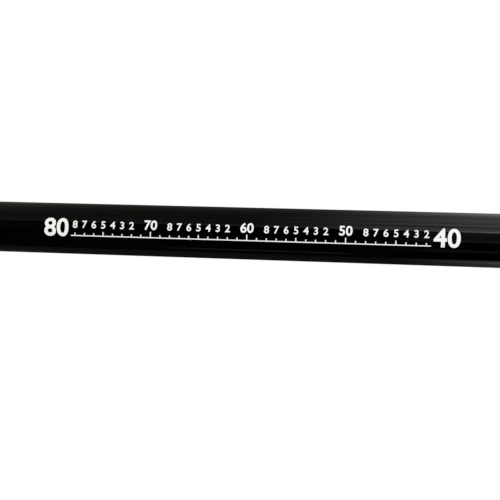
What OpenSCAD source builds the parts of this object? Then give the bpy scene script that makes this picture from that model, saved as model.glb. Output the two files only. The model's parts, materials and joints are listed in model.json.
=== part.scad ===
// Telescopic flagpole: tapered tubes that nest in one another and lock by their
// own taper when they are drawn out. It is drawn closed, standing on its foot.

/* [Pole] */
// Height of the pole with every section drawn out
drawn_height = 9000; // [7500:50:10000]
// Number of tubes that nest in one another
section_count = 7; // [5:1:8]
// Length that a drawn section keeps inside the mouth it came out of
lock_overlap = 120; // [60:1:200]
// How far each closed section stands out of the mouth around it
grip_step = 24; // [16:1:40]

/* [Tubes] */
// Outside diameter of the base section at its foot
base_d = 56; // [54:0.5:64]
// Outside diameter of the tip section at its foot
tip_d = 16.45; // [13:0.05:20]
// Wall of the base section
base_wall = 1.9; // [1.2:0.1:2.2]
// Wall of the tip section
tip_wall = 1.2; // [0.8:0.1:1.6]
// Gap all round a drawn section where it locks in the mouth
lock_gap = 0.12; // [0.05:0.01:0.3]
// Chamfer of a tube's cut ends
end_chamfer = 0.4; // [0.1:0.1:0.6]

/* [Mouth bands] */
// Thickness of the winding that stiffens a mouth
band_t = 0.9; // [0.4:0.1:1.5]
// Length over which the winding runs out to nothing
band_runout = 3; // [1:0.5:6]
// Bare rim of the tube above the winding
band_drop = 1.5; // [0.5:0.1:4]
// Bare tube between a closed section's winding and the mouth around it
band_stand = 2.5; // [1:0.1:6]

/* [Butt end] */
// Height of the screw cap's grip
cap_h = 17; // [12:0.5:30]
// How far the grip stands out beyond the tube
cap_lip = 2; // [1:0.1:4]
// Bevel of the grip's two edges
cap_bevel = 1.2; // [0.4:0.1:2]
// Number of finger flutes round the grip
flute_count = 36; // [16:1:48]
// Radius of a flute
flute_r = 1.6; // [0.8:0.1:2]
// Depth of a flute
flute_depth = 0.7; // [0.3:0.1:0.9]
// Thickness of the sealing washer between grip and flange
washer_t = 1; // [0.5:0.1:2]
// How far the washer's rim lies back from the flange's
washer_set = 0.6; // [0.2:0.1:1]
// Height of the insert's flange between washer and tube
flange_h = 3; // [1.5:0.5:6]
// How far the flange stands out beyond the tube
flange_lip = 0.8; // [0.3:0.1:1.5]
// Length of the insert's sleeve inside the tube
sleeve_len = 32; // [16:1:60]
// Wall of the insert's sleeve
sleeve_wall = 2.5; // [1.5:0.1:4]
// Thickness of the pad that the closed sections stand on
pad_t = 5; // [2:0.5:8]
// Bevel of that pad's edges
pad_bevel = 0.8; // [0.2:0.1:1.2]

/* [Rubber foot] */
// Diameter of the foot
foot_d = 46; // [30:0.5:48]
// Thickness of the foot
foot_t = 6; // [3:0.5:9]
// How far the foot stands below the screw cap
foot_proud = 2; // [1:0.5:2.5]
// Rounding of the foot's lower edge
foot_round = 1.2; // [0.3:0.1:1.5]
// Outer diameter of the groove in the sole
groove_d = 33; // [20:0.5:40]
// Width of that groove
groove_w = 2.4; // [1:0.1:4]
// Depth of that groove
groove_depth = 1.2; // [0.5:0.1:2]

/* [Tip fitting] */
// Length of the tip cap's spigot inside the tip section
spigot_len = 28; // [12:1:50]
// Height of the tip cap's collar
collar_h = 9; // [5:0.5:16]
// How far the collar stands out beyond the tube
collar_lip = 1.4; // [0.6:0.1:3]
// Rounding of the collar's edges
collar_round = 1.2; // [0.4:0.1:2]
// Height of the domed crown between collar and lug
crown_h = 3; // [2:0.5:5]
// Width of the lug
lug_w = 14; // [12:0.5:16]
// Thickness of the lug
lug_t = 6; // [4:0.5:9]
// Bevel of the lug's edges
lug_bevel = 0.9; // [0.3:0.1:1.5]
// Height of the eye's centre above the crown
eye_rise = 9; // [8:0.5:14]
// Radius of the open eye
eye_r = 3.5; // [2:0.1:4]
// Wall of the metal eyelet that lines the eye
eyelet_wall = 0.8; // [0.4:0.1:1]
// Width of the eyelet's rolled rims
rim_w = 1; // [0.5:0.1:1.2]
// Thickness of the eyelet's rolled rims
rim_t = 0.6; // [0.3:0.1:1]

/* [Hidden] */
$fn = 96;
// Clearance between pieces that are bonded or screwed together
seat_gap = 0.1;
// Overrun of a cut past the face that it opens
cut = 1;

// Heights from the sole of the foot upwards, with the pole closed
cap_foot = foot_proud;
cap_top = cap_foot + cap_h;
flange_foot = cap_top + washer_t;
tube_foot = flange_foot + flange_h;
sleeve_top = tube_foot + sleeve_len;
seat = sleeve_top + pad_t;
lug_r = lug_w / 2;
tip_h = collar_h + crown_h + eye_rise + lug_r;

// The mouth of the base section lies where the drawn sections add up to drawn_height
last = section_count - 1;
steps_drawn = section_count * last / 2;
base_mouth = (drawn_height - tip_h + last * (seat + lock_overlap) - steps_drawn * grip_step)
    / section_count;
tip_mouth = mouth(last);

// Section number i counts from 0, the base section, to last, the tip section
function foot(i) = i == 0 ? tube_foot : seat;
function mouth(i) = base_mouth + i * grip_step;
function lock_foot(i) = mouth(i) - lock_overlap;
function wall(i) = base_wall + (tip_wall - base_wall) * i / last;
function foot_r(i) = i == 0 ? base_d / 2 : bore_r(i - 1, lock_foot(i - 1)) - lock_gap;
function tube_r(i, z) = foot_r(i) - taper_share / 2 * (z - foot(i));
function bore_r(i, z) = tube_r(i, z) - wall(i);

// Loss of diameter per length of tube, which steps the nest from base_d down to tip_d
function sum_of(list) = list * [for (entry = list) 1];
nest_wall = sum_of([for (i = [0 : last - 1]) wall(i) + lock_gap]);
nest_run = sum_of([for (i = [0 : last - 1]) lock_foot(i) - foot(i)]);
taper_share = (base_d - tip_d - 2 * nest_wall) / nest_run;

cap_r = base_d / 2 + cap_lip;
flange_r = base_d / 2 + flange_lip;
sleeve_r = bore_r(0, sleeve_top) - seat_gap;
thread_r = sleeve_r - sleeve_wall;
collar_r = tube_r(last, tip_mouth) + collar_lip;
collar_top = tip_mouth + collar_h;
eye_z = collar_top + crown_h + eye_rise;
eyelet_r = eye_r + eyelet_wall;

function section_name(i) = i == 0 ? "base_section" : i == last ? "tip_section" : str("section_", i + 1);
function band_name(i) = i == 0 ? "base_band" : str("band_", i + 1);

// Tapered tube with chamfered ends, standing at its closed height
module section_tube(i) {
    low = foot(i);
    high = mouth(i);
    c = end_chamfer;
    color([0.03, 0.03, 0.035])
    rotate_extrude()
    polygon([
        [bore_r(i, low), low],
        [tube_r(i, low) - c, low],
        [tube_r(i, low), low + c],
        [tube_r(i, high), high - c],
        [tube_r(i, high) - c, high],
        [bore_r(i, high) + c, high],
        [bore_r(i, high), high - c]
    ]);
}

// Wound band that stiffens the mouth of section i
module mouth_band(i) {
    high = mouth(i) - band_drop;
    low = mouth(i) - grip_step + band_stand;
    color([0.05, 0.05, 0.055])
    rotate_extrude()
    polygon([
        [tube_r(i, low) + seat_gap, low],
        [tube_r(i, low + band_runout) + band_t, low + band_runout],
        [tube_r(i, high - band_t) + band_t, high - band_t],
        [tube_r(i, high) + seat_gap, high]
    ]);
}

// Screw cap: fluted grip, recess for the foot below and spigot inside the insert above
module butt_cap() {
    recess_h = foot_t - foot_proud;
    color([0.06, 0.06, 0.06])
    difference() {
        rotate_extrude()
        polygon([
            [0, cap_foot],
            [cap_r - cap_bevel, cap_foot],
            [cap_r, cap_foot + cap_bevel],
            [cap_r, cap_top - cap_bevel],
            [cap_r - cap_bevel, cap_top],
            [thread_r - seat_gap, cap_top],
            [thread_r - seat_gap, sleeve_top],
            [0, sleeve_top]
        ]);
        for (k = [0 : flute_count - 1])
            rotate([0, 0, 360 * k / flute_count])
            translate([cap_r + flute_r - flute_depth, 0, cap_foot - cut])
            cylinder(r = flute_r, h = cap_h + 2 * cut);
        translate([0, 0, cap_foot - cut])
        cylinder(d = foot_d + 2 * seat_gap, h = recess_h + cut);
    }
}

// Rubber washer that the screw cap presses against the insert's flange
module cap_washer() {
    color([0.07, 0.07, 0.07])
    translate([0, 0, cap_top])
    difference() {
        cylinder(r = flange_r - washer_set, h = washer_t);
        translate([0, 0, -cut])
        cylinder(r = thread_r, h = washer_t + 2 * cut);
    }
}

// Insert bonded in the butt, with a flange under the tube's end
module butt_insert() {
    color([0.3, 0.3, 0.32])
    rotate_extrude()
    polygon([
        [thread_r, flange_foot],
        [flange_r - end_chamfer, flange_foot],
        [flange_r, flange_foot + end_chamfer],
        [flange_r, tube_foot - end_chamfer],
        [flange_r - end_chamfer, tube_foot],
        [bore_r(0, tube_foot) - seat_gap, tube_foot],
        [sleeve_r, sleeve_top],
        [thread_r, sleeve_top]
    ]);
}

// Rubber pad with bevelled edges that the closed sections stand on
module buffer_pad() {
    pad_r = bore_r(0, seat) - seat_gap;
    color([0.08, 0.08, 0.08])
    rotate_extrude()
    polygon([
        [0, sleeve_top],
        [pad_r - pad_bevel, sleeve_top],
        [pad_r, sleeve_top + pad_bevel],
        [pad_r, seat - pad_bevel],
        [pad_r - pad_bevel, seat],
        [0, seat]
    ]);
}

// Rubber foot in the recess of the screw cap, with a groove in its sole
module rubber_foot() {
    groove_r = groove_d / 2;
    color([0.05, 0.05, 0.05])
    difference() {
        rotate_extrude() {
            polygon([
                [0, 0],
                [foot_d / 2 - foot_round, 0],
                [foot_d / 2 - foot_round, foot_round],
                [foot_d / 2, foot_round],
                [foot_d / 2, foot_t],
                [0, foot_t]
            ]);
            intersection() {
                translate([foot_d / 2 - foot_round, foot_round])
                circle(r = foot_round);
                square([foot_d / 2, foot_round]);
            }
        }
        translate([0, 0, -cut])
        difference() {
            cylinder(r = groove_r, h = groove_depth + cut);
            cylinder(r = groove_r - groove_w, h = groove_depth + cut);
        }
    }
}

// Half section of the tip cap's turned body: spigot, rounded collar and domed crown
module tip_body_outline() {
    spigot_r = bore_r(last, tip_mouth) - seat_gap;
    spigot_foot = tip_mouth - spigot_len;
    round_r = collar_r - collar_round;
    dome_r = (pow(round_r, 2) + pow(crown_h, 2)) / (2 * crown_h);
    polygon([
        [0, spigot_foot],
        [spigot_r - end_chamfer, spigot_foot],
        [spigot_r, spigot_foot + end_chamfer],
        [spigot_r, tip_mouth],
        [round_r, tip_mouth],
        [round_r, tip_mouth + collar_round],
        [collar_r, tip_mouth + collar_round],
        [collar_r, collar_top - collar_round],
        [round_r, collar_top - collar_round],
        [round_r, collar_top],
        [0, collar_top]
    ]);
    for (edge = [tip_mouth + collar_round, collar_top - collar_round])
        translate([round_r, edge])
        circle(r = collar_round);
    intersection() {
        translate([0, collar_top + crown_h - dome_r])
        circle(r = dome_r);
        translate([0, collar_top])
        square([round_r, crown_h]);
    }
}

// Flat lug with bevelled edges: an upright block that ends in a disc round the eye
module tip_lug() {
    side = lug_r - lug_bevel;
    half = lug_t / 2;
    face = half - lug_bevel;
    translate([0, 0, collar_top])
    linear_extrude(eye_z - collar_top)
    polygon([
        [-side, -half], [side, -half], [lug_r, -face], [lug_r, face],
        [side, half], [-side, half], [-lug_r, face], [-lug_r, -face]
    ]);
    translate([0, 0, eye_z])
    rotate([90, 0, 0])
    rotate_extrude()
    polygon([[0, -half], [side, -half], [lug_r, -face], [lug_r, face], [side, half], [0, half]]);
}

// Moulded cap on the tip section, with a flat lug for the eye
module tip_cap() {
    color([0.06, 0.06, 0.06])
    difference() {
        union() {
            rotate_extrude()
            tip_body_outline();
            tip_lug();
        }
        translate([0, 0, eye_z])
        rotate([90, 0, 0])
        cylinder(r = eyelet_r + seat_gap, h = lug_t + 2 * cut, center = true);
    }
}

// Half section of the eyelet: a straight barrel with a rim rolled out over each face
module eyelet_outline() {
    half = lug_t / 2;
    roll_r = eyelet_r + rim_w - rim_t;
    translate([eye_r, -half - rim_t])
    square([eyelet_wall, lug_t + 2 * rim_t]);
    for (side = [0, 1])
        mirror([0, side])
        intersection() {
            union() {
                translate([eye_r, half])
                square([roll_r - eye_r, rim_t]);
                translate([roll_r, half])
                circle(r = rim_t);
            }
            translate([eye_r, half])
            square([eyelet_r + rim_w - eye_r, rim_t]);
        }
}

// Metal eyelet with a rolled rim on each face of the lug
module tip_eyelet() {
    color([0.75, 0.76, 0.78])
    translate([0, 0, eye_z])
    rotate([90, 0, 0])
    rotate_extrude()
    eyelet_outline();
}

rubber_foot();
butt_cap();
cap_washer();
butt_insert();
buffer_pad();
for (i = [0 : last])
    section_tube(i);
for (i = [0 : last - 1])
    mouth_band(i);
tip_cap();
tip_eyelet();
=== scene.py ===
"""Looks of a closed telescopic flagpole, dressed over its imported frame.

Lengths are in metres. The pole stands along +Z on its foot. Its printed scale faces -Y and reads
down the pole, and the camera lies on its side, so the tip points to the left of the picture.
"""

import json
import logging
import math
from collections import defaultdict
from collections.abc import Iterable, Sequence
from dataclasses import dataclass
from enum import Enum

import bmesh
import bpy
from mathutils import Matrix, Vector
from mathutils.geometry import intersect_point_line


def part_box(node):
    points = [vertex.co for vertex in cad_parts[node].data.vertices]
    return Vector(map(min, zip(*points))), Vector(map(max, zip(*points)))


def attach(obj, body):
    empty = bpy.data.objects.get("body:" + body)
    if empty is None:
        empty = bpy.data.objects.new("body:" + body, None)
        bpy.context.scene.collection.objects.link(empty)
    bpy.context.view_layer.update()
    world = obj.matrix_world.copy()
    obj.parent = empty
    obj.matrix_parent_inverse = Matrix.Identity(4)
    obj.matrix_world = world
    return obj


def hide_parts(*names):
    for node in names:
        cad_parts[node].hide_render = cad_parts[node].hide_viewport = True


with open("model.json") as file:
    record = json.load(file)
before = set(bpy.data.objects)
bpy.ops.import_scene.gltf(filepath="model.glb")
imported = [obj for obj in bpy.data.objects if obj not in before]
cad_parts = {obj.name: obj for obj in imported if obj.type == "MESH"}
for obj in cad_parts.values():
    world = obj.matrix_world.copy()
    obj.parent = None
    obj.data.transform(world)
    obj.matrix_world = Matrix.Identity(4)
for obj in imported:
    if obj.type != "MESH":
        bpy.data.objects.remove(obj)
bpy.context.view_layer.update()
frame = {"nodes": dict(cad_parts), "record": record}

log = logging.getLogger("flagpole")

MM = 0.001
SHARP_ANGLE = math.radians(32)
END_DEPTH = 1.0 * MM
WELD = 0.0001 * MM

Span = tuple[float, float]
Triple = tuple[float, float, float]
Colour = Triple
Term = "Value | float | Colour"


class Side(Enum):
    """Material slots of a tube."""

    OUTSIDE = 0
    BORE = 1


@dataclass(frozen=True)
class MarkStyle:
    """Look of a mark on the scale: its tick, and the height, foot and added weight of its figure."""

    tick: float
    figure: float
    foot: float
    weight: float


class Rank(Enum):
    """Ranks of the scale's marks."""

    UNIT = MarkStyle(tick=2.4 * MM, figure=7.8 * MM, foot=0.2 * MM, weight=0.2 * MM)
    FIVE = MarkStyle(tick=3.8 * MM, figure=7.8 * MM, foot=0.2 * MM, weight=0.2 * MM)
    TEN = MarkStyle(tick=5.4 * MM, figure=10.2 * MM, foot=0.2 * MM, weight=0.3 * MM)
    END = MarkStyle(tick=0.0, figure=19.4 * MM, foot=-9.0 * MM, weight=0.6 * MM)


class Value:
    """A shader socket on which Python's operators work; each operation adds a Math node."""

    def __init__(self, graph: "Graph", socket: bpy.types.NodeSocket) -> None:
        """Wraps an output socket of a graph."""
        self.graph = graph
        self.socket = socket

    def __add__(self, other: Term) -> "Value":
        """Sum."""
        return self.graph.maths("ADD", self, other)

    def __radd__(self, other: Term) -> "Value":
        """Sum with a number on the left."""
        return self.graph.maths("ADD", other, self)

    def __sub__(self, other: Term) -> "Value":
        """Difference."""
        return self.graph.maths("SUBTRACT", self, other)

    def __rsub__(self, other: Term) -> "Value":
        """Difference from a number on the left."""
        return self.graph.maths("SUBTRACT", other, self)

    def __mul__(self, other: Term) -> "Value":
        """Product."""
        return self.graph.maths("MULTIPLY", self, other)

    def __rmul__(self, other: Term) -> "Value":
        """Product with a number on the left."""
        return self.graph.maths("MULTIPLY", other, self)


class Graph:
    """A node tree that is written as expressions."""

    def __init__(self, tree: bpy.types.NodeTree) -> None:
        """Empties a node tree and takes it over."""
        self.tree = tree
        self.tree.nodes.clear()

    def make(self, kind: str, settings: dict | None = None, inputs: dict | None = None) -> bpy.types.Node:
        """Makes a node.

        Args:
            kind: The node's type.
            settings: Its properties, set first.
            inputs: Numbers, colours or values for its sockets, by name or number.

        Returns:
            The node.
        """
        node = self.tree.nodes.new(kind)
        for name, setting in (settings or {}).items():
            setattr(node, name, setting)
        for name, term in (inputs or {}).items():
            socket = node.inputs[name]
            if isinstance(term, Value):
                self.tree.links.new(term.socket, socket)
            else:
                socket.default_value = term
        return node

    def add(self, kind: str, settings: dict | None = None, inputs: dict | None = None,
            output: str | int = 0) -> Value:
        """Makes a node and gives one of its outputs, by name or number."""
        return Value(self, self.make(kind, settings, inputs).outputs[output])

    def maths(self, operation: str, *terms: Term) -> Value:
        """Adds a Math node of that operation on the terms."""
        return self.add("ShaderNodeMath", {"operation": operation}, dict(enumerate(terms)))

    @staticmethod
    def mixed(shares: Sequence[float], *values: Value) -> Value:
        """Sum of values, each times its share."""
        return sum(value * share for value, share in zip(values, shares))

    def place(self) -> Value:
        """Place on the object, in metres."""
        return self.add("ShaderNodeTexCoord", output="Object")

    def along(self, axis: str) -> Value:
        """Place along the object's X, Y or Z, in metres."""
        return self.add("ShaderNodeSeparateXYZ", None, {0: self.place()}, axis)

    def radius(self) -> Value:
        """Distance from the pole's axis, in metres."""
        flat = {0: self.place(), 1: (1, 1, 0)}
        offset = self.add("ShaderNodeVectorMath", {"operation": "MULTIPLY"}, flat)
        return self.add("ShaderNodeVectorMath", {"operation": "LENGTH"}, {0: offset}, "Value")

    def noise(self, per_metre: Triple, detail: float = 2.0, rough: float = 0.5,
              place: Value | None = None) -> Value:
        """Smooth noise.

        Args:
            per_metre: How many features there are to a metre along each axis.
            detail: Number of finer layers.
            rough: Strength of each finer layer.
            place: Where the noise is read, which is the place on the object if none is given.

        Returns:
            Values from 0 to 1.
        """
        scaled = {"Vector": place or self.place(), "Scale": per_metre}
        mapped = self.add("ShaderNodeMapping", None, scaled)
        inputs = {"Vector": mapped, "Scale": 1.0, "Detail": detail, "Roughness": rough}
        return self.add("ShaderNodeTexNoise", None, inputs)

    def window(self, value: Value, low: float, high: float) -> Value:
        """Rises smoothly from 0 to 1 as a value goes from low to high."""
        inputs = {"Value": value, "From Min": low, "From Max": high}
        return self.add("ShaderNodeMapRange", {"interpolation_type": "SMOOTHSTEP"}, inputs)

    def blend(self, share: Value, first: Colour, second: Colour) -> Value:
        """Mixes two colours by a share of the second. The colour sockets go by number."""
        inputs = {0: share, 6: (*first, 1.0), 7: (*second, 1.0)}
        return self.add("ShaderNodeMix", {"data_type": "RGBA"}, inputs, output=2)

    def bump(self, height: Value, depth: float, strength: float = 1.0) -> Value:
        """Normal of a surface whose height of 0 to 1 stands for a depth in metres."""
        inputs = {"Height": height, "Distance": depth, "Strength": strength}
        return self.add("ShaderNodeBump", None, inputs, output="Normal")

    def surface(self, **inputs: Term) -> Value:
        """Principled surface, with its sockets' names written with underscores."""
        named = {name.replace("_", " "): term for name, term in inputs.items()}
        return self.add("ShaderNodeBsdfPrincipled", None, named)

    def cleared(self, share: Value, shader: Value) -> Value:
        """Makes a shader see-through by a share."""
        clear = self.add("ShaderNodeBsdfTransparent")
        return self.add("ShaderNodeMixShader", None, {0: share, 1: shader, 2: clear})

    def end(self, shader: Value, kind: str = "ShaderNodeOutputMaterial") -> None:
        """Links a shader to an output node of that kind."""
        self.make(kind, None, {"Surface": shader})


class Finish:
    """A finish that makes its material once. Kinds of finish fill in shade.

    A noise is held as its features to a metre along each axis, and a span as the two levels between
    which it comes to show. Gains are what noises add to the roughness, and relief is their depth.
    """

    name: str

    def shade(self, graph: Graph) -> Value:
        """Builds the finish's shader in a graph."""
        raise NotImplementedError

    def material(self) -> bpy.types.Material:
        """The finish's material, made at its first use."""
        made = bpy.data.materials.get(self.name)
        if made is None:
            made = bpy.data.materials.new(self.name)
            made.use_nodes = True
            graph = Graph(made.node_tree)
            graph.end(self.shade(graph))
        return made


@dataclass(frozen=True)
class Lacquer(Finish):
    """Gloss black lacquer over drawn glass fibre, with faint streaks along the tube."""

    name: str = "gloss_black_lacquer"
    deep: Colour = (0.0003, 0.0003, 0.0003)
    worn: Colour = (0.0009, 0.0009, 0.0008)
    streaks: Triple = (170.0, 170.0, 2.2)
    hairs: Triple = (420.0, 420.0, 4.0)
    clouds: Triple = (24.0, 24.0, 7.0)
    handled: Span = (0.42, 0.66)
    handled_shares: Span = (0.7, 0.3)
    tone_shares: Span = (0.8, 0.2)
    rough: float = 0.05
    rough_gains: Span = (0.03, 0.02)
    relief: float = 0.08 * MM
    relief_shares: Span = (0.8, 0.2)

    def shade(self, graph: Graph) -> Value:
        """Black gloss whose roughness and level vary in streaks."""
        streaks = graph.noise(self.streaks, detail=3.0)
        hairs = graph.noise(self.hairs)
        clouds = graph.noise(self.clouds)
        handled = graph.window(graph.mixed(self.handled_shares, clouds, streaks), *self.handled)
        tone = graph.blend(graph.mixed(self.tone_shares, handled, hairs), self.deep, self.worn)
        rough = self.rough + graph.mixed(self.rough_gains, handled, hairs)
        level = graph.mixed(self.relief_shares, streaks, hairs)
        return graph.surface(Base_Color=tone, Roughness=rough, IOR=1.5,
                             Normal=graph.bump(level, self.relief))


@dataclass(frozen=True)
class RawFibre(Finish):
    """Bare resin and glass inside a tube, with rovings that run along it."""

    name: str = "raw_fibre_bore"
    resin: Colour = (0.012, 0.011, 0.010)
    glass: Colour = (0.045, 0.042, 0.036)
    rovings: Triple = (420.0, 420.0, 9.0)
    grain: Triple = (1600.0, 1600.0, 220.0)
    pale_rovings: Span = (0.42, 0.68)
    rough: float = 0.5
    rough_gain: float = 0.25
    relief: float = 0.15 * MM
    relief_shares: Span = (0.7, 0.3)

    def shade(self, graph: Graph) -> Value:
        """Dull dark fibre with pale rovings."""
        rovings = graph.noise(self.rovings, detail=3.0)
        grain = graph.noise(self.grain, detail=1.0)
        tone = graph.blend(graph.window(rovings, *self.pale_rovings), self.resin, self.glass)
        level = graph.mixed(self.relief_shares, rovings, grain)
        return graph.surface(Base_Color=tone, Roughness=self.rough + self.rough_gain * grain,
                             Normal=graph.bump(level, self.relief))


@dataclass(frozen=True)
class WoundThread(Finish):
    """Black glass thread wound on a tube and flooded with clear lacquer."""

    name: str = "lacquered_thread"
    thread: Colour = (0.0035, 0.0035, 0.0038)
    flooded: Colour = (0.009, 0.009, 0.0095)
    strands: Triple = (60.0, 60.0, 2600.0)
    pools: Triple = (110.0, 110.0, 260.0)
    thin_lacquer: Span = (0.4, 0.7)
    rough: float = 0.09
    rough_gain: float = 0.14
    relief: float = 0.04 * MM
    relief_shares: Span = (0.5, 0.5)

    def shade(self, graph: Graph) -> Value:
        """Gloss over fine strands, a little duller where the lacquer is thin."""
        strands = graph.noise(self.strands)
        pools = graph.noise(self.pools)
        tone = graph.blend(strands, self.thread, self.flooded)
        rough = self.rough + self.rough_gain * graph.window(pools, *self.thin_lacquer)
        level = graph.mixed(self.relief_shares, strands, pools)
        return graph.surface(Base_Color=tone, Roughness=rough, IOR=1.52,
                             Normal=graph.bump(level, self.relief))


@dataclass(frozen=True)
class MouldedNylon(Finish):
    """Black nylon with the fine spark texture of its mould, rubbed smooth at a radius.

    The radius that it has by itself lies outside every piece, so that nothing is rubbed there.
    """

    name: str = "spark_textured_nylon"
    rubbed_radius: float = 1.0
    rubbed_depth: float = 0.4 * MM
    dark: Colour = (0.010, 0.010, 0.0105)
    pale: Colour = (0.030, 0.030, 0.031)
    sparks: Triple = (1500.0, 1500.0, 1500.0)
    handling: Triple = (70.0, 70.0, 110.0)
    handled: Span = (0.45, 0.7)
    rubbed_shares: Span = (0.5, 0.7)
    tone_shares: Span = (0.7, 0.3)
    rough: float = 0.56
    rough_gains: Span = (-0.2, 0.06)
    relief: float = 0.06 * MM

    def shade(self, graph: Graph) -> Value:
        """Satin black, smoother and paler where hands have rubbed it."""
        sparks = graph.noise(self.sparks, rough=0.6)
        handled = graph.window(graph.noise(self.handling, detail=3.0), *self.handled)
        out = graph.window(graph.radius(), self.rubbed_radius - self.rubbed_depth, self.rubbed_radius)
        rubbed = graph.maths("MINIMUM", graph.mixed(self.rubbed_shares, handled, out), 1.0)
        tone = graph.blend(graph.mixed(self.tone_shares, rubbed, sparks), self.dark, self.pale)
        rough = self.rough + graph.mixed(self.rough_gains, rubbed, sparks)
        return graph.surface(Base_Color=tone, Roughness=rough, IOR=1.53,
                             Normal=graph.bump(sparks, self.relief, strength=0.6))


@dataclass(frozen=True)
class SoleRubber(Finish):
    """Moulded rubber, scuffed and a little dusty."""

    name: str = "scuffed_rubber"
    clean: Colour = (0.012, 0.012, 0.012)
    dusty: Colour = (0.05, 0.047, 0.042)
    scuffs: Triple = (160.0, 160.0, 160.0)
    pores: Triple = (1100.0, 1100.0, 1100.0)
    scuffed: Span = (0.5, 0.75)
    dust_share: float = 0.6
    rough: float = 0.74
    rough_gain: float = 0.16
    relief: float = 0.08 * MM
    relief_shares: Span = (0.6, 0.4)

    def shade(self, graph: Graph) -> Value:
        """Dull black with pale scuffs."""
        scuffs = graph.window(graph.noise(self.scuffs, detail=4.0, rough=0.6), *self.scuffed)
        pores = graph.noise(self.pores)
        tone = graph.blend(scuffs * self.dust_share, self.clean, self.dusty)
        level = graph.mixed(self.relief_shares, pores, scuffs)
        return graph.surface(Base_Color=tone, Roughness=self.rough + self.rough_gain * pores,
                             Normal=graph.bump(level, self.relief))


@dataclass(frozen=True)
class TurnedAlloy(Finish):
    """Black anodised alloy with the rings of its turning."""

    name: str = "black_anodised_alloy"
    dye: Colour = (0.018, 0.018, 0.020)
    bright: Colour = (0.06, 0.06, 0.064)
    rings: Triple = (6.0, 6.0, 3600.0)
    stain: Triple = (90.0, 90.0, 90.0)
    tone_shares: Span = (0.5, 0.3)
    rough: float = 0.26
    rough_gains: Span = (0.08, 0.16)
    relief: float = 0.02 * MM

    def shade(self, graph: Graph) -> Value:
        """Dark satin metal with rings round the axis."""
        rings = graph.noise(self.rings)
        stain = graph.noise(self.stain)
        tone = graph.blend(graph.mixed(self.tone_shares, rings, stain), self.dye, self.bright)
        rough = self.rough + graph.mixed(self.rough_gains, rings, stain)
        return graph.surface(Base_Color=tone, Roughness=rough, Metallic=0.85,
                             Normal=graph.bump(rings, self.relief))


@dataclass(frozen=True)
class RolledSteel(Finish):
    """Bright rolled stainless steel with fine rubbing marks."""

    name: str = "rolled_steel"
    bright: Colour = (0.60, 0.60, 0.61)
    dull: Colour = (0.38, 0.37, 0.36)
    rubs: Triple = (2400.0, 260.0, 2400.0)
    tarnish: Triple = (420.0, 420.0, 420.0)
    tarnished: Span = (0.48, 0.72)
    tone_shares: Span = (0.7, 0.2)
    rough: float = 0.2
    rough_gains: Span = (0.2, 0.08)
    relief: float = 0.01 * MM

    def shade(self, graph: Graph) -> Value:
        """Metal, duller where it is tarnished."""
        rubs = graph.noise(self.rubs)
        tarnish = graph.window(graph.noise(self.tarnish, detail=3.0), *self.tarnished)
        tone = graph.blend(graph.mixed(self.tone_shares, tarnish, rubs), self.bright, self.dull)
        rough = self.rough + graph.mixed(self.rough_gains, tarnish, rubs)
        return graph.surface(Base_Color=tone, Roughness=rough, Metallic=1.0,
                             Normal=graph.bump(rubs, self.relief))


@dataclass(frozen=True)
class PrintedInk(Finish):
    """White screen ink, warmer and thinner in patches, and darker and warmer towards the top."""

    name: str = "white_screen_ink"
    full: Colour = (0.95, 0.95, 0.94)
    thin: Colour = (0.74, 0.71, 0.65)
    patches: Triple = (26.0, 26.0, 9.0)
    mesh: Triple = (900.0, 900.0, 900.0)
    thin_patches: Span = (0.44, 0.68)
    thin_mesh: Span = (0.55, 0.8)
    darker_warmer_heights: Span = (0.66, 0.86)
    thin_shares: Triple = (0.15, 0.15, 0.5)
    rough: float = 0.4
    rough_gain: float = 0.15
    relief: float = 0.01 * MM

    def shade(self, graph: Graph) -> Value:
        """Satin white with warm patches and the grain of the screen."""
        patches = graph.window(graph.noise(self.patches), *self.thin_patches)
        mesh = graph.noise(self.mesh, detail=1.0)
        pores = graph.window(mesh, *self.thin_mesh)
        # darker and warmer towards the top of the pole, set by height alone
        upper = graph.window(graph.along("Z"), *self.darker_warmer_heights)
        tone = graph.blend(graph.mixed(self.thin_shares, patches, pores, upper), self.full, self.thin)
        return graph.surface(Base_Color=tone, Roughness=self.rough + self.rough_gain * mesh,
                             Normal=graph.bump(mesh, self.relief))


@dataclass(frozen=True)
class PaleFloor(Finish):
    """Matt pale floor that fades out at its rim."""

    name: str = "pale_floor"
    tone: Colour = (0.86, 0.86, 0.86)
    faded: Span = (1.0, 2.1)

    def shade(self, graph: Graph) -> Value:
        """Matt paint, clear at the rim."""
        paint = graph.surface(Base_Color=(*self.tone, 1.0), Roughness=0.9, Specular_IOR_Level=0.0)
        return graph.cleared(graph.window(graph.radius(), *self.faded), paint)


@dataclass(frozen=True)
class Softbox:
    """An upright bright panel of the studio's tent, which fades between two heights.

    Angles are in degrees round the pole, from -Y towards +X, and heights are in metres. The panel
    starts at its foot, and its far_share is left past the fade. Past the angle lean_from, the light
    fades lower by lean for each degree.
    """

    first: float
    last: float
    glow: float
    first_soft: float = 1.0
    last_soft: float = 1.0
    fade_from: float = -0.05
    fade_to: float = 0.92
    far_share: float = 0.0
    foot: float = -1.0
    foot_soft: float = 0.03
    lean: float = 0.0036
    lean_from: float = 62.0

    def light(self, graph: Graph, angle: Value, height: Value) -> Value:
        """Light of the panel.

        Args:
            graph: The tent's graph.
            angle: Angle round the pole.
            height: Height above the floor.

        Returns:
            Its glow there, 0 outside its two edges.
        """
        begun = graph.window(angle, self.first - self.first_soft, self.first + self.first_soft)
        ended = graph.window(angle, self.last - self.last_soft, self.last + self.last_soft)
        past = graph.maths("MAXIMUM", angle - self.lean_from, 0.0)
        faded = graph.window(height + past * self.lean, self.fade_from, self.fade_to)
        raised = graph.window(height, self.foot - self.foot_soft, self.foot + self.foot_soft)
        return (begun - ended) * (1.0 - (1.0 - self.far_share) * faded) * raised * self.glow


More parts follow.
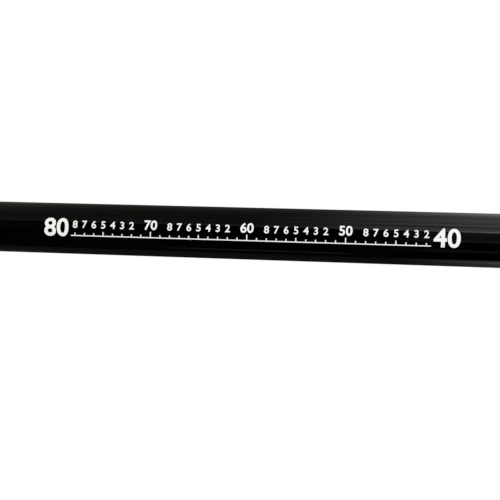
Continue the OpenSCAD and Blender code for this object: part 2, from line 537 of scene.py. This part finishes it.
class Panel(Enum):
    """Panels of the studio's tent."""

    OVERHEAD = Softbox(first=30, last=165, last_soft=22, glow=1.0, far_share=0.1)
    SILL = Softbox(first=30, last=36, last_soft=2.5, glow=1.0, far_share=0.08, fade_to=0.6)
    GALLERY = Softbox(first=75, last=165, first_soft=15, last_soft=22, glow=0.09,
                      fade_from=1.9, fade_to=1.45)
    FACING = Softbox(first=-4, last=29, first_soft=4, glow=0.11, fade_from=0.2, fade_to=0.48)
    BRIGHT_BAR = Softbox(first=-13, last=-4, first_soft=3, last_soft=3, glow=0.18,
                         fade_from=0.2, fade_to=0.48)
    FAINT_BAR = Softbox(first=-57, last=-44, first_soft=6, last_soft=6, glow=0.08,
                        fade_from=0.2, fade_to=0.48)
    LOWER_BAR = Softbox(first=-81, last=-76, first_soft=1.5, last_soft=1.5, glow=0.2,
                        fade_from=0.95, fade_to=1.15, foot=0.52)
    LOW_FRONT = Softbox(first=-122, last=-97.5, first_soft=14, glow=0.76, far_share=0.05,
                        fade_from=-0.1, fade_to=0.44)
    LOW_BACK = Softbox(first=-157, last=-97.5, first_soft=15, glow=0.16, far_share=0.14,
                       fade_from=-0.1, fade_to=0.4)
    BACK_STRIP = Softbox(first=169, last=184, first_soft=4, last_soft=4, glow=2.0, far_share=1.0)
    LOFT_RIGHT = Softbox(first=36, last=72, first_soft=6, last_soft=6, glow=1.0, far_share=1.0,
                         foot=2.1, foot_soft=0.3)
    LOFT_LEFT = Softbox(first=-78, last=-42, first_soft=6, last_soft=6, glow=1.0, far_share=1.0,
                        foot=2.1, foot_soft=0.3)


@dataclass(frozen=True)
class TentCloth(Finish):
    """Glow of the studio's tent, which only the gloss of the pole sees.

    The angles round it start again at its seam. Its groundsheet sets in between two radii round the
    foot and carries the panels' light on inwards.
    """

    name: str = "studio_tent"
    seam: float = 188.0
    sheet: Span = (0.05, 0.5)
    cool: Colour = (1.0, 0.95, 0.97)
    warm: Colour = (1.0, 0.94, 0.80)
    warm_heights: Span = (0.35, 1.3)
    streaks: Triple = (11.0, 11.0, 0.8)
    streaked: Span = (0.3, 0.7)
    least_streak: float = 0.5

    def shade(self, graph: Graph) -> Value:
        """Light of all the panels, streaked along the pole and warmer towards the top."""
        height = graph.along("Z")
        turn = graph.maths("ARCTAN2", graph.along("X"), graph.along("Y") * -1.0)
        angle = graph.maths("WRAP", turn * math.degrees(1.0), self.seam, self.seam - 360.0)
        glow = sum(panel.value.light(graph, angle, height) for panel in Panel)
        direction = {0: graph.maths("SINE", turn), 1: graph.maths("COSINE", turn), 2: height}
        round_pole = graph.add("ShaderNodeCombineXYZ", None, direction)
        streaks = graph.noise(self.streaks, detail=3.0, rough=0.6, place=round_pole)
        level = glow * (self.least_streak + graph.window(streaks, *self.streaked))
        tint = graph.blend(graph.window(height, *self.warm_heights), self.cool, self.warm)
        scaled = {"Vector": tint, "Scale": level}
        colour = graph.add("ShaderNodeVectorMath", {"operation": "SCALE"}, scaled)
        cloth = graph.add("ShaderNodeEmission", None, {"Color": colour, "Strength": 1.0})
        return graph.cleared(1.0 - graph.window(graph.radius(), *self.sheet), cloth)


@dataclass(frozen=True)
class Corner:
    """A corner of a turned outline: its radius and height, and the rounding of the corner."""

    radius: float
    height: float
    rounding: float = 0.0


def rounded(corners: Sequence[Corner], closed: bool, steps: int = 4) -> list[Vector]:
    """Rounds an outline's corners with arcs.

    Args:
        corners: The outline's corners in order.
        closed: Whether the last corner leads back to the first.
        steps: Number of lines in each arc.

    Returns:
        The outline's points, as radius and height.
    """
    places = [Vector((corner.radius, corner.height)) for corner in corners]
    points: list[Vector] = []
    for number, (corner, here) in enumerate(zip(corners, places)):
        at_end = not closed and number in (0, len(places) - 1)
        if at_end or corner.rounding == 0:
            points.append(here)
            continue
        before = (places[number - 1] - here).normalized()
        after = (places[(number + 1) % len(places)] - here).normalized()
        half = before.angle(after) / 2
        centre = here + (before + after).normalized() * (corner.rounding / math.sin(half))
        reach = corner.rounding / math.tan(half)
        first = here + before * reach - centre
        last = here + after * reach - centre
        start = math.atan2(first.y, first.x)
        sweep = (math.atan2(last.y, last.x) - start + math.pi) % math.tau - math.pi
        for step in range(steps + 1):
            angle = start + sweep * step / steps
            points.append(centre + corner.rounding * Vector((math.cos(angle), math.sin(angle))))
    return points


def turned(outline: Sequence[Vector], segments: int, closed: bool) -> bmesh.types.BMesh:
    """Turns an outline once round the pole's axis.

    Args:
        outline: Points as radius and height. An open outline starts and ends on the axis.
        segments: Number of steps in the turn.
        closed: Whether the last point leads back to the first.

    Returns:
        A closed mesh with its faces outwards.
    """
    work = bmesh.new()
    verts = [work.verts.new((point.x, 0.0, point.y)) for point in outline]
    pairs = list(zip(verts, verts[1:]))
    if closed:
        pairs.append((verts[-1], verts[0]))
    edges = [work.edges.new(pair) for pair in pairs]
    bmesh.ops.spin(work, geom=[*verts, *edges], cent=(0, 0, 0), axis=(0, 0, 1), dvec=(0, 0, 0),
                   angle=math.tau, steps=segments, use_merge=True, use_duplicate=False)
    bmesh.ops.remove_doubles(work, verts=work.verts[:], dist=WELD)
    bmesh.ops.recalc_face_normals(work, faces=work.faces[:])
    return work


def made_piece(name: str, work: bmesh.types.BMesh, finishes: Iterable[Finish]) -> bpy.types.Object:
    """Makes an object of a mesh in progress, smooth but for its sharp edges.

    Args:
        name: The piece's name.
        work: The mesh, which is freed.
        finishes: The finishes of its material slots.

    Returns:
        The object, at the origin.
    """
    mesh = bpy.data.meshes.new(name)
    work.to_mesh(mesh)
    work.free()
    for finish in finishes:
        mesh.materials.append(finish.material())
    mesh.shade_smooth()
    mesh.set_sharp_from_angle(angle=SHARP_ANGLE)
    piece = bpy.data.objects.new(name, mesh)
    bpy.context.scene.collection.objects.link(piece)
    return piece


def settle(piece: bpy.types.Object, body: str, slot: str, *nodes: str) -> None:
    """Rides a piece on a body and lets it stand for nodes.

    Args:
        piece: The piece.
        body: The body that it moves with.
        slot: The record's material slot, which is not used.
        nodes: The nodes that it stands for.
    """
    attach(piece, body)
    if nodes:
        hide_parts(*nodes)
    log.info("%s rides on %s with %d faces", piece.name, body, len(piece.data.polygons))


def radii(node: str, low: float, high: float) -> tuple[float, float]:
    """Least and greatest radius of a node's points between two heights."""
    points = (vert.co for vert in frame["nodes"][node].data.vertices)
    found = [math.hypot(point.x, point.y) for point in points if low <= point.z <= high]
    return min(found), max(found)


@dataclass(frozen=True)
class TubeSizes:
    """Sizes of a tapered tube."""

    foot: float
    mouth: float
    foot_radius: float
    mouth_radius: float
    wall: float

    @classmethod
    def of_node(cls, node: str) -> "TubeSizes":
        """Reads a tube's sizes from the points of its node that lie at the two ends."""
        foot, mouth = (corner.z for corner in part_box(node))
        bore, foot_radius = radii(node, foot, foot + END_DEPTH)
        mouth_radius = radii(node, mouth - END_DEPTH, mouth)[1]
        return cls(foot, mouth, foot_radius, mouth_radius, foot_radius - bore)

    def radius_at(self, height: float) -> float:
        """Outer radius at a height."""
        share = (height - self.foot) / (self.mouth - self.foot)
        return self.foot_radius + (self.mouth_radius - self.foot_radius) * share


@dataclass
class TubeSection:
    """One tapered tube: lacquered outside, bare inside.

    A face whose normal points away from the axis by less than bore_facing belongs to the bore.
    """

    node: str
    body: str
    sizes: TubeSizes
    segments: int = 128
    foot_round: float = 0.4 * MM
    mouth_round: float = 0.55 * MM
    support: float = 3.0 * MM
    bore_facing: float = -0.5

    def build(self) -> bmesh.types.BMesh:
        """Turns the tube's wall, with a ring beside each end that keeps the cone's shading true."""
        sizes = self.sizes
        rings = (sizes.foot, sizes.foot + self.support, sizes.mouth - self.support, sizes.mouth)
        rounds = (self.foot_round, 0.0, 0.0, self.mouth_round)
        outer = [Corner(sizes.radius_at(z), z, rounding) for z, rounding in zip(rings, rounds)]
        inner = [Corner(corner.radius - sizes.wall, corner.height, corner.rounding) for corner in outer]
        return turned(rounded([*outer, *reversed(inner)], closed=True), self.segments, closed=True)

    def dress(self) -> None:
        """Builds the tube and gives its bore and its outside their finishes."""
        work = self.build()
        for face in work.faces:
            centre = face.calc_center_median()
            outwards = face.normal.dot(Vector((centre.x, centre.y, 0.0)).normalized())
            side = Side.BORE if outwards < self.bore_facing else Side.OUTSIDE
            face.material_index = side.value
        tube = made_piece(f"{self.node}_tube", work, (Lacquer(), RawFibre()))
        settle(tube, self.body, "black_fibreglass", self.node)


@dataclass
class MouthBand:
    """Winding of glass thread that stiffens a tube's mouth."""

    node: str
    body: str
    tube: TubeSizes
    segments: int = 112
    bond: float = 0.1 * MM
    thick: float = 0.9 * MM
    run_out: float = 3.0 * MM
    pitch: float = 0.85 * MM
    ridge: float = 0.1 * MM
    arc_steps: int = 4

    def build(self) -> bmesh.types.BMesh:
        """Turns a ridged outline: run-out below, one ridge to a thread, a bevel above."""
        low, high = (corner.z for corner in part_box(self.node))
        wound_from = low + self.run_out
        wound_to = high - self.thick
        count = round((wound_to - wound_from) / self.pitch)
        points = [Vector((self.tube.radius_at(low) + self.bond, low))]
        for step in range(count * self.arc_steps + 1):
            turn = step / self.arc_steps
            height = wound_from + (wound_to - wound_from) * turn / count
            sunk = self.ridge * (1 - abs(math.sin(math.pi * turn)))
            points.append(Vector((self.tube.radius_at(height) + self.thick - sunk, height)))
        points.append(Vector((self.tube.radius_at(high) + self.bond, high)))
        return turned(points, self.segments, closed=True)

    def dress(self) -> None:
        """Builds the winding and lacquers it."""
        band = made_piece(f"{self.node}_winding", self.build(), (WoundThread(),))
        settle(band, self.body, "wound_band", self.node)


@dataclass
class ScrewCap:
    """Screw cap under the butt: fluted grip, recess for the foot, spigot inside the insert."""

    node: str = "butt_cap"
    body: str = "base"
    flutes: int = 36
    steps: int = 12
    flute_radius: float = 1.6 * MM
    flute_depth: float = 0.7 * MM
    edge: float = 1.3 * MM
    lip: float = 0.4 * MM
    gap: float = 0.1 * MM

    def build(self) -> bmesh.types.BMesh:
        """Turns the cap, then presses the flutes into its grip."""
        low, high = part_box(self.node)
        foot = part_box("rubber_foot")[1]
        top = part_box("cap_washer")[0].z
        spigot = radii("butt_insert", top, high.z)[0] - self.gap
        grip = self._grip()
        recess = foot.x + self.gap
        corners = (
            Corner(0.0, foot.z),
            Corner(recess, foot.z),
            Corner(recess, low.z, self.lip),
            Corner(grip, low.z, self.edge),
            Corner(grip, low.z + 2 * self.edge),
            Corner(grip, top - 2 * self.edge),
            Corner(grip, top, self.edge),
            Corner(spigot, top),
            Corner(spigot, high.z, self.lip),
            Corner(0.0, high.z),
        )
        work = turned(rounded(corners, closed=False), self.flutes * self.steps, closed=False)
        for vert in work.verts:
            radius = math.hypot(vert.co.x, vert.co.y)
            if low.z <= vert.co.z <= top and radius > recess:
                pressed = min(radius, self._flute_floor(math.atan2(vert.co.y, vert.co.x), grip))
                vert.co.xy *= pressed / radius
        return work

    def _grip(self) -> float:
        """Greatest radius of the grip."""
        low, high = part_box(self.node)
        return radii(self.node, low.z, high.z)[1]

    def _flute_floor(self, angle: float, grip: float) -> float:
        """Radius of the grip at an angle, where a round flute may be cut into it."""
        pitch = math.tau / self.flutes
        off = (angle + pitch / 2) % pitch - pitch / 2
        centre = grip + self.flute_radius - self.flute_depth
        reach = self.flute_radius**2 - (centre * math.sin(off))**2
        if reach <= 0:
            return grip
        return min(grip, centre * math.cos(off) - math.sqrt(reach))

    def dress(self) -> None:
        """Builds the cap in nylon that is rubbed between the flutes."""
        nylon = MouldedNylon("rubbed_grip_nylon", rubbed_radius=self._grip())
        cap = made_piece("screw_cap", self.build(), (nylon,))
        settle(cap, self.body, "moulded_nylon", self.node)


@dataclass
class TipEyelet:
    """Metal eyelet in the tip's lug, with a rim rolled over each face."""

    node: str = "tip_eyelet"
    body: str = "tip"
    segments: int = 64
    wall: float = 0.8 * MM
    rim: float = 0.6 * MM
    mouth_round: float = 0.85 * MM
    rim_round: float = 0.58 * MM
    under_round: float = 0.02 * MM
    arc_steps: int = 7

    def build(self) -> bmesh.types.BMesh:
        """Turns the eyelet upright, then lays its axis along the lug's eye."""
        low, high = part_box(self.node)
        centre = (low + high) / 2
        outer = (high.x - low.x) / 2
        half = (high.y - low.y) / 2
        mount = next(row for row in frame["record"]["mounts"] if row["name"] == "tip_eye")
        eye = mount["dims"]["r_mm"] * MM
        barrel = eye + self.wall
        upper = (
            Corner(barrel, half - self.rim),
            Corner(outer, half - self.rim, self.under_round),
            Corner(outer, half, self.rim_round),
            Corner(eye, half, self.mouth_round),
        )
        lower = [Corner(corner.radius, -corner.height, corner.rounding) for corner in reversed(upper)]
        outline = rounded([*upper, *lower], closed=True, steps=self.arc_steps)
        work = turned(outline, self.segments, closed=True)
        laid = Matrix.Translation(centre) @ Matrix.Rotation(math.pi / 2, 4, "X")
        bmesh.ops.transform(work, matrix=laid, verts=work.verts[:])
        return work

    def dress(self) -> None:
        """Builds the eyelet in steel."""
        eyelet = made_piece("rolled_eyelet", self.build(), (RolledSteel(),))
        settle(eyelet, self.body, "eyelet_steel", self.node)


@dataclass
class PrintedScale:
    """Printed scale of centimetres above the foot, wrapped round the base tube.

    Crowded digits stand beside a ten and are left out. Shares are of the weight that a figure gains:
    edges shorter than merged_share are closed up first, and points that end nearer than clear_share
    to the thin figure's rim have folded over and go.
    """

    tube: TubeSizes
    body: str = "base"
    slot: str = "white_ink"
    lowest: int = 40
    highest: int = 80
    unit: float = 0.01
    crowded: tuple[int, int] = (1, 9)
    end_room: float = 15.5 * MM
    base_line: float = -8.3 * MM
    line: float = 1.1 * MM
    proud: float = 0.05 * MM
    sunk: float = 0.03 * MM
    strip: float = 1.2 * MM
    curve_steps: int = 12
    merged_share: float = 0.25
    clear_share: float = 0.98
    least_spread: float = 0.1

    def dress(self) -> None:
        """Prints the lines and the figures."""
        self._wrap("scale_lines", self._lines())
        self._wrap("scale_figures", self._figures())

    def _rank(self, number: int) -> Rank:
        """Rank of the mark at a number of centimetres."""
        if number in (self.lowest, self.highest):
            return Rank.END
        if number % 10 == 0:
            return Rank.TEN
        return Rank.FIVE if number % 5 == 0 else Rank.UNIT

    def _along(self, number: int) -> float:
        """Place of a number on the flat drawing, whose x runs down the pole from its middle."""
        return ((self.lowest + self.highest) / 2 - number) * self.unit

    def _numbers(self) -> list[int]:
        """Numbers that stand between the two end figures, clear of them."""
        room = math.ceil(self.end_room / self.unit)
        return list(range(self.lowest + room, self.highest - room + 1))

    def _lines(self) -> bmesh.types.BMesh:
        """Draws the base line and the ticks that stand on it."""
        work = bmesh.new()
        left = self._along(self.highest) + self.end_room
        right = self._along(self.lowest) - self.end_room
        ticks_from = self.base_line + self.line
        self._bar(work, left, right, self.base_line, ticks_from)
        for number in self._numbers():
            middle = self._along(number)
            ticks_to = ticks_from + self._rank(number).value.tick
            self._bar(work, middle - self.line / 2, middle + self.line / 2, ticks_from, ticks_to)
        return work

    @staticmethod
    def _bar(work: bmesh.types.BMesh, left: float, right: float, bottom: float, top: float) -> None:
        """Adds a flat bar to the drawing."""
        middle = Matrix.Translation(((left + right) / 2, (bottom + top) / 2, 0.0))
        spread = Matrix.Diagonal((right - left, top - bottom, 1.0, 1.0))
        bmesh.ops.create_grid(work, x_segments=1, y_segments=1, size=0.5, matrix=middle @ spread)

    def _figures(self) -> bmesh.types.BMesh:
        """Draws the whole number at each ten and each end, and the last digit where there is room."""
        work = bmesh.new()
        for number in (self.lowest, *self._numbers(), self.highest):
            rank = self._rank(number)
            whole = rank in (Rank.TEN, Rank.END)
            if not whole and number % 10 in self.crowded:
                continue
            mesh = self._flat_text(str(number if whole else number % 10), rank.value)
            self._make_bolder(mesh, rank.value.weight)
            mesh.transform(Matrix.Translation((self._along(number), rank.value.foot, 0.0)))
            work.from_mesh(mesh)
            bpy.data.meshes.remove(mesh)
        return work

    def _flat_text(self, text: str, style: MarkStyle) -> bpy.types.Mesh:
        """Makes a flat mesh of a text.

        Args:
            text: The text.
            style: Height and weight of its figures.

        Returns:
            A mesh that is centred on x and, once it is bolder, stands on y = 0.
        """
        curve = bpy.data.curves.new("figure", "FONT")
        curve.body = text
        curve.fill_mode = "FRONT"
        curve.resolution_u = self.curve_steps
        curve.space_character = 1.0 + style.weight / style.figure
        holder = bpy.data.objects.new("figure", curve)
        bpy.context.scene.collection.objects.link(holder)
        graph = bpy.context.evaluated_depsgraph_get()
        mesh = bpy.data.meshes.new_from_object(holder.evaluated_get(graph))
        bpy.data.objects.remove(holder)
        bpy.data.curves.remove(curve)
        across = [vert.co.x for vert in mesh.vertices]
        upwards = [vert.co.y for vert in mesh.vertices]
        size = (style.figure - 2 * style.weight) / (max(upwards) - min(upwards))
        centred = Matrix.Translation((-(max(across) + min(across)) / 2, -min(upwards), 0.0))
        mesh.transform(Matrix.Translation((0.0, style.weight, 0.0)) @ Matrix.Scale(size, 4) @ centred)
        return mesh

    def _make_bolder(self, mesh: bpy.types.Mesh, weight: float) -> None:
        """Moves the rims of flat figures outwards by a weight, and fills the rims again."""
        work = bmesh.new()
        work.from_mesh(mesh)
        bmesh.ops.remove_doubles(work, verts=work.verts[:], dist=weight * self.merged_share)
        rims = [edge for edge in work.edges if edge.is_boundary]
        thin_rims = [tuple(vert.co.copy() for vert in edge.verts) for edge in rims]
        sides: dict[bmesh.types.BMVert, list[Vector]] = defaultdict(list)
        for edge in rims:
            start, end = (vert.co for vert in edge.verts)
            side = (end - start).cross(Vector((0, 0, 1))).normalized()
            if side.dot(edge.link_faces[0].calc_center_median() - start) > 0:
                side.negate()
            for vert in edge.verts:
                sides[vert].append(side)
        for vert, (first, second) in sides.items():
            vert.co += (first + second) * weight / max(1 + first.dot(second), self.least_spread)
        inner = [edge for edge in work.edges if not edge.is_boundary]
        bmesh.ops.delete(work, geom=inner, context="EDGES")
        clear = weight * self.clear_share
        folded = [vert for vert in sides if self._distance(vert.co, thin_rims) < clear]
        bmesh.ops.dissolve_verts(work, verts=folded)
        bmesh.ops.triangle_fill(work, edges=work.edges[:], normal=(0, 0, 1), use_beauty=True)
        work.to_mesh(mesh)
        work.free()

    @staticmethod
    def _distance(point: Vector, rims: Iterable[tuple[Vector, Vector]]) -> float:
        """Distance from a point to the nearest of some straight rims."""
        found = []
        for start, end in rims:
            share = intersect_point_line(point, start, end)[1]
            found.append((point - start.lerp(end, min(max(share, 0.0), 1.0))).length)
        return min(found)

    def _wrap(self, name: str, work: bmesh.types.BMesh) -> None:
        """Cuts a flat drawing into strips, gives it thickness and wraps it round the tube."""
        across = [vert.co.y for vert in work.verts]
        cuts = math.ceil((max(across) - min(across)) / self.strip)
        for cut in range(1, cuts):
            level = min(across) + (max(across) - min(across)) * cut / cuts
            geometry = [*work.verts, *work.edges, *work.faces]
            bmesh.ops.bisect_plane(work, geom=geometry, dist=WELD, plane_co=(0, level, 0),
                                   plane_no=(0, 1, 0))
        raised = bmesh.ops.extrude_face_region(work, geom=work.faces[:], use_keep_orig=True)
        tops = [item for item in raised["geom"] if isinstance(item, bmesh.types.BMVert)]
        bmesh.ops.translate(work, vec=(0, 0, self.proud + self.sunk), verts=tops)
        middle = (self.lowest + self.highest) / 2 * self.unit
        for vert in work.verts:
            height = middle - vert.co.x
            radius = self.tube.radius_at(height)
            lifted = radius + vert.co.z - self.sunk
            angle = vert.co.y / radius
            vert.co = (lifted * math.sin(angle), -lifted * math.cos(angle), height)
        settle(made_piece(name, work, (PrintedInk(),)), self.body, self.slot)


@dataclass(frozen=True)
class CarriedNode:
    """A node whose shape stays and whose finish is set."""

    node: str
    finish: Finish

    def dress(self) -> None:
        """Puts the finish on the node."""
        materials = frame["nodes"][self.node].data.materials
        materials.clear()
        materials.append(self.finish.material())
        log.info("%s keeps its shape", self.node)


@dataclass
class PhotoCamera:
    """Camera at the photograph's angle, from where the pole's edges cross its left and right sides."""

    tube: TubeSizes
    picture: float = 500.0
    left_edges: Span = (201.4, 251.3)
    right_edges: Span = (213.6, 268.1)
    field_of_view: float = math.radians(30)
    middle: float = 0.60
    half_span: float = 0.27
    nearest: float = 0.02
    rounds: int = 4

    def _sight(self, column: float, edges: Span, height: float) -> Vector:
        """Place of the pole's axis, in the camera's own frame, at a column of the picture.

        Args:
            column: The column, in pixels.
            edges: Rows of the pole's two edges there, in pixels.
            height: Height on the pole there.

        Returns:
            The place.
        """
        focal = self.picture / 2 / math.tan(self.field_of_view / 2)
        depth = focal * 2 * self.tube.radius_at(height) / (edges[1] - edges[0])
        across = column - self.picture / 2
        upwards = (self.picture - edges[0] - edges[1]) / 2
        return Vector((across / focal, upwards / focal, -1.0)) * depth

    def place(self) -> None:
        """Makes the camera, which looks along +Y with the tip of the pole to its left."""
        upper = self.middle + self.half_span
        lower = self.middle - self.half_span
        for _ in range(self.rounds):
            left = self._sight(0.0, self.left_edges, upper)
            right = self._sight(self.picture, self.right_edges, lower)
            share = -left.x / (right.x - left.x)
            upper = self.middle + (right - left).length * share
            lower = self.middle - (right - left).length * (1 - share)
        seen = self._frame_of((right - left).normalized(), Vector((0, 0, 1)))
        real = self._frame_of(Vector((0, 0, -1)), Vector((0, -1, 0)))
        turn = real @ seen.transposed()
        where = Vector((0, 0, self.middle)) - turn @ left.lerp(right, share)
        data = bpy.data.cameras.new("photo_camera")
        data.lens = data.sensor_width / 2 / math.tan(self.field_of_view / 2)
        data.clip_start = self.nearest
        camera = bpy.data.objects.new("photo_camera", data)
        camera.matrix_world = Matrix.Translation(where) @ turn.to_4x4()
        bpy.context.scene.collection.objects.link(camera)
        bpy.context.scene.camera = camera
        log.info("camera sees heights %.3f to %.3f", lower, upper)

    @staticmethod
    def _frame_of(along: Vector, towards: Vector) -> Matrix:
        """Matrix of three directions at right angles: along, nearest to towards, and the third."""
        facing = (towards - along * along.dot(towards)).normalized()
        return Matrix((along, facing, along.cross(facing))).transposed()


@dataclass
class Studio:
    """White studio: pale floor, soft lamps, white world and a tent that the gloss reflects."""

    floor_radius: float = 2.15
    floor_segments: int = 96
    tent_radius: float = 1.9
    tent_height: float = 10.5
    tent_segments: int = 160
    sheet_height: float = 1.0 * MM
    sky: Colour = (1.0, 1.0, 1.0)
    fill: float = 0.6
    key_power: float = 55.0
    key_place: Triple = (0.7, -2.3, 2.9)
    rim_power: float = 24.0
    rim_place: Triple = (-1.6, 2.2, 2.6)
    lamp_size: float = 1.6
    aim: Triple = (0.0, 0.0, 0.7)

    def build(self) -> None:
        """Builds the floor, the tent, the lamps and the world."""
        self._floor()
        self._tent()
        self._lamp("key_lamp", self.key_place, self.key_power)
        self._lamp("rim_lamp", self.rim_place, self.rim_power)
        self._world()
        bpy.context.scene.view_settings.view_transform = "Standard"

    def _floor(self) -> None:
        """Round pale floor under the foot."""
        work = bmesh.new()
        bmesh.ops.create_circle(work, cap_ends=True, segments=self.floor_segments,
                                radius=self.floor_radius)
        made_piece("studio_floor", work, (PaleFloor(),))

    def _tent(self) -> None:
        """Round tent, open above, that only reflections see."""
        work = bmesh.new()
        bmesh.ops.create_cone(work, cap_ends=False, segments=self.tent_segments, depth=self.tent_height,
                              radius1=self.tent_radius, radius2=self.tent_radius,
                              matrix=Matrix.Translation((0, 0, self.tent_height / 2)))
        bmesh.ops.create_circle(work, cap_ends=True, segments=self.tent_segments,
                                radius=self.tent_radius,
                                matrix=Matrix.Translation((0, 0, self.sheet_height)))
        tent = made_piece("studio_tent", work, (TentCloth(),))
        tent.visible_camera = False
        tent.visible_diffuse = False
        tent.visible_shadow = False
        tent.visible_transmission = False

    def _lamp(self, name: str, place: Triple, power: float) -> None:
        """Square soft lamp that faces the pole."""
        data = bpy.data.lights.new(name, "AREA")
        data.energy = power
        data.size = self.lamp_size
        lamp = bpy.data.objects.new(name, data)
        facing = (Vector(self.aim) - Vector(place)).to_track_quat("-Z", "Y")
        lamp.matrix_world = Matrix.Translation(place) @ facing.to_matrix().to_4x4()
        bpy.context.scene.collection.objects.link(lamp)

    def _world(self) -> None:
        """White where it is seen or mirrored, and a soft fill for what it lights."""
        world = bpy.data.worlds.new("white_studio")
        bpy.context.scene.world = world
        world.use_nodes = True
        graph = Graph(world.node_tree)
        rays = ("Is Camera Ray", "Is Glossy Ray", "Is Transmission Ray")
        camera, glossy, through = (graph.add("ShaderNodeLightPath", output=ray) for ray in rays)
        seen = graph.maths("MINIMUM", camera + glossy + through, 1.0)
        strength = self.fill + (1.0 - self.fill) * seen
        inputs = {"Color": (*self.sky, 1.0), "Strength": strength}
        graph.end(graph.add("ShaderNodeBackground", None, inputs), "ShaderNodeOutputWorld")


def nodes_of(slot: str) -> dict[str, str]:
    """Nodes of a material slot, each with the body that carries it."""
    record = frame["record"]
    body_of = {node: body for body, nodes in record["behaviour"]["bodies"].items() for node in nodes}
    found = [row["node"] for row in record["subparts"] if row["material_slot"] == slot]
    return {node: body_of[node] for node in found}


def main() -> None:
    """Builds the camera, the studio and the pole from its foot up."""
    logging.basicConfig(level=logging.INFO, format="%(name)s: %(message)s")
    tubes = nodes_of("black_fibreglass")
    sizes = {body: TubeSizes.of_node(node) for node, body in tubes.items()}
    PhotoCamera(sizes["base"]).place()
    Studio().build()
    for node in nodes_of("foot_rubber"):
        CarriedNode(node, SoleRubber()).dress()
    CarriedNode("butt_insert", TurnedAlloy()).dress()
    CarriedNode("tip_cap", MouldedNylon()).dress()
    ScrewCap().dress()
    for node, body in tubes.items():
        TubeSection(node, body, sizes[body]).dress()
    for node, body in nodes_of("wound_band").items():
        MouthBand(node, body, sizes[body]).dress()
    TipEyelet().dress()
    PrintedScale(sizes["base"]).dress()


if __name__ == "__main__":
    main()
